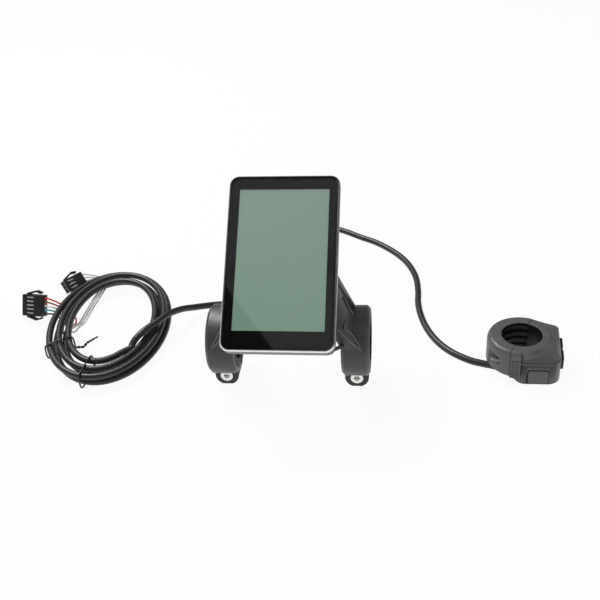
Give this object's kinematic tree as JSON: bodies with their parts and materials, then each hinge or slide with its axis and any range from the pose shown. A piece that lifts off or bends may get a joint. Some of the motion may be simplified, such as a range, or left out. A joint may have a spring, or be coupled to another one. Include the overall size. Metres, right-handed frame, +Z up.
{
  "type": "e-bike handlebar display",
  "caption": "Handlebar display for an electric bicycle: flat glass screen on a twin-ring bracket, clamp-on button remote, short cable and a coiled lead with plugs.",
  "frame": {"origin": "on the handlebar's axis, midway between the display's two clamp rings", "axes": "+X along the handlebar to the rider's right, +Y away from the rider, +Z up"},
  "size_m": [0.3294, 0.2177, 0.1131],
  "materials": {
    "cover_glass": "gloss",
    "black_film": "gloss",
    "silver_frame": "satin",
    "lcd": "satin",
    "white_plastic": "satin",
    "board": "satin",
    "black_plastic": "matte",
    "dark_plastic": "matte",
    "grey_plastic": "matte",
    "black_rubber": "matte",
    "cable_jacket": "satin",
    "tie_black": "matte",
    "wire_colours": "satin",
    "steel": "bright"
  },
  "bodies": {
    "root": {"cover_glass": "cover_glass", "mask_film": "black_film", "metal_frame": "silver_frame", "lcd_panel": "lcd", "light_guide": "white_plastic", "circuit_board": "board", "board_components": "black_plastic", "gasket": "black_rubber", "rear_housing": "dark_plastic", "housing_screws": "steel", "left_arm": "grey_plastic", "right_arm": "grey_plastic", "arm_screws": "steel", "left_reducer": "black_rubber", "right_reducer": "black_rubber", "pinch_screws": "steel", "pinch_nuts": "steel", "main_gland": "black_rubber", "remote_gland": "black_rubber", "remote_cable": "cable_jacket", "main_cable": "cable_jacket", "main_cable_coil": "cable_jacket", "cable_sleeve": "black_rubber", "left_tie": "tie_black", "front_tie": "tie_black", "plug_a": "black_plastic", "plug_a_contacts": "steel", "plug_a_wires": "wire_colours", "plug_b": "black_plastic", "plug_b_contacts": "steel", "plug_b_wires": "wire_colours", "remote_clamp_half": "grey_plastic", "remote_bushing": "grey_plastic", "remote_housing": "grey_plastic", "remote_base": "dark_plastic", "remote_board": "board", "remote_switches": "black_plastic", "remote_clamp_screws": "steel", "remote_base_screws": "steel", "remote_boot": "black_rubber"},
    "up_button": {"up_button": "black_rubber"},
    "down_button": {"down_button": "black_rubber"},
    "mode_button": {"mode_button": "grey_plastic"}
  },
  "joints": [
    {"name": "up_press", "type": "slide", "parent": "root", "child": "up_button", "axis": [-0.9969, 0.0785, 0], "range_m": [0, 0.0008], "stiffness_N_per_m": 600, "springref_m": -0.001},
    {"name": "down_press", "type": "slide", "parent": "root", "child": "down_button", "axis": [-0.9969, 0.0785, 0], "range_m": [0, 0.0008], "stiffness_N_per_m": 600, "springref_m": -0.001},
    {"name": "mode_press", "type": "slide", "parent": "root", "child": "mode_button", "axis": [0, 1, 0], "range_m": [0, 0.0008], "stiffness_N_per_m": 600, "springref_m": -0.001}
  ]
}
